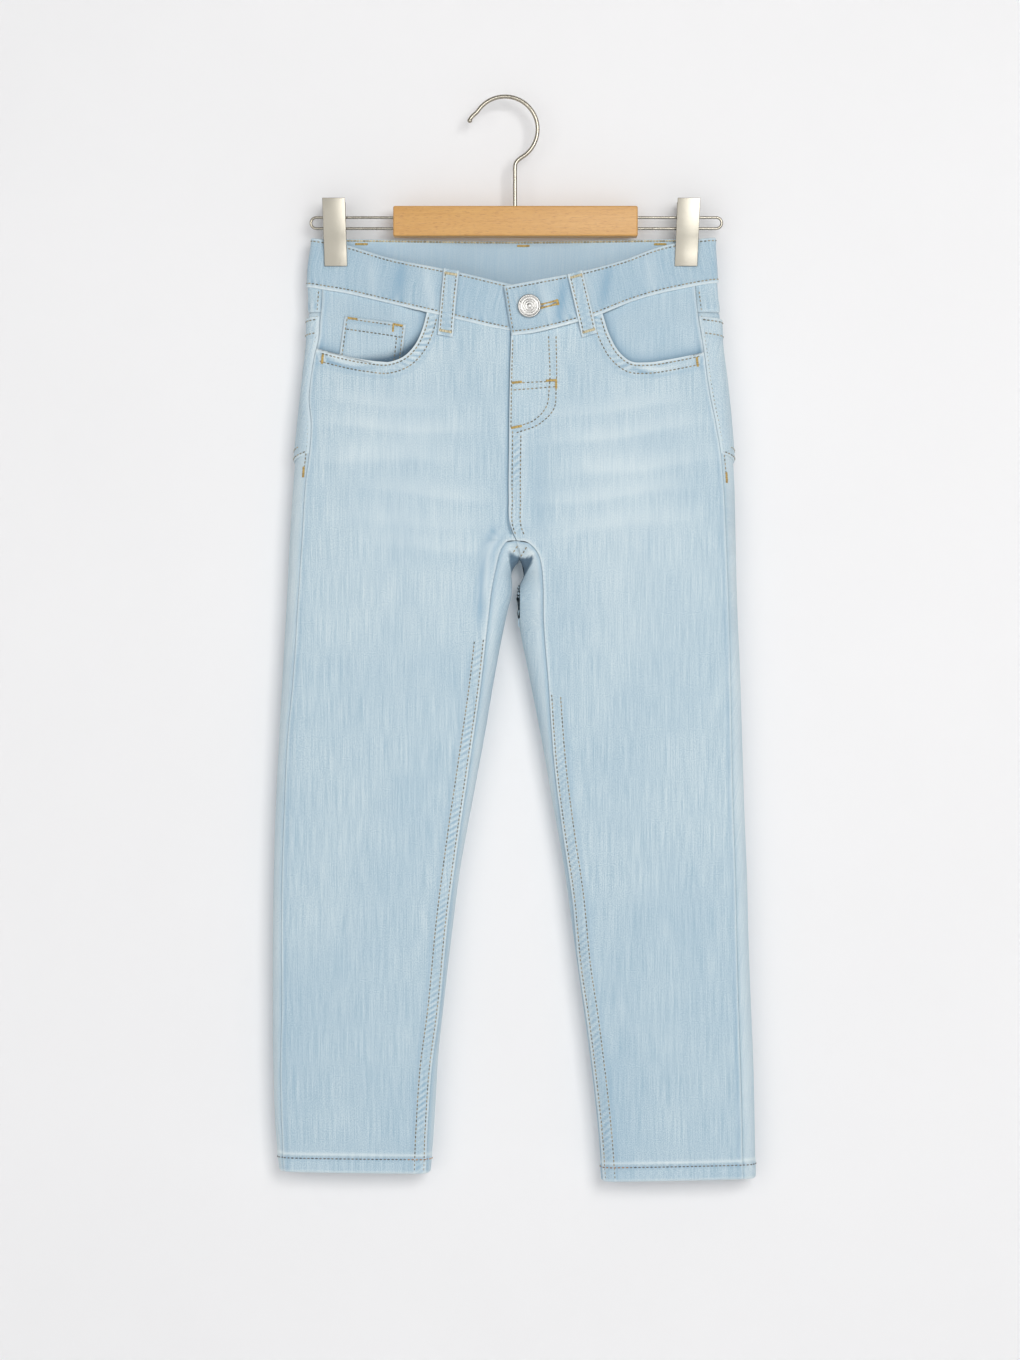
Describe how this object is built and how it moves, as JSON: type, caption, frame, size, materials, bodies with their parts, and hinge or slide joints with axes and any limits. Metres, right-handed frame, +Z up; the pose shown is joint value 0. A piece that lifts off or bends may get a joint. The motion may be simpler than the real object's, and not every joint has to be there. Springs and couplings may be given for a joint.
{
  "type": "slim fit jeans on a clip hanger",
  "caption": "Child's slim fit jeans in pale washed stretch denim, buttoned at the waist and hung flat by the waistband from the clips of a wood and wire hanger.",
  "frame": {"origin": "the point inside the hook that rests on a rail, straight above the hook's stem", "axes": "+Z up, the jeans' front faces -Y, +X to the right as seen from the front"},
  "size_m": [0.3514, 0.0376, 0.7904],
  "materials": {
    "denim": "washed stretch twill, matt, streaked along its length, paler at the seams",
    "thread": "twisted sewing thread, old gold and pale grey",
    "button_metal": "antique nickel, satin, with turned rings",
    "hook_wire": "nickel-plated wire, soft shine",
    "clip_plate": "nickel-plated sheet, satin, with light edges",
    "bar_wood": "clear-lacquered beech, grain along the bar"
  },
  "bodies": {
    "root": {"front_left": "denim", "front_right": "denim", "back_left": "denim", "back_right": "denim", "yoke_left": "denim", "yoke_right": "denim", "pocket_facing_left": "denim", "pocket_facing_right": "denim", "back_pocket_left": "denim", "back_pocket_right": "denim", "waistband": "denim", "fly_shield": "denim", "coin_pocket": "denim", "belt_loop_front_left": "denim", "belt_loop_front_right": "denim", "belt_loop_back_left": "denim", "belt_loop_back_centre": "denim", "belt_loop_back_right": "denim", "button": "button_metal", "hanger_hook": "hook_wire", "hanger_bar": "bar_wood", "hanger_wire_left": "hook_wire", "hanger_wire_right": "hook_wire", "clip_front_left": "clip_plate", "clip_front_right": "clip_plate", "clip_back_left": "clip_plate", "clip_back_right": "clip_plate"}
  },
  "joints": []
}
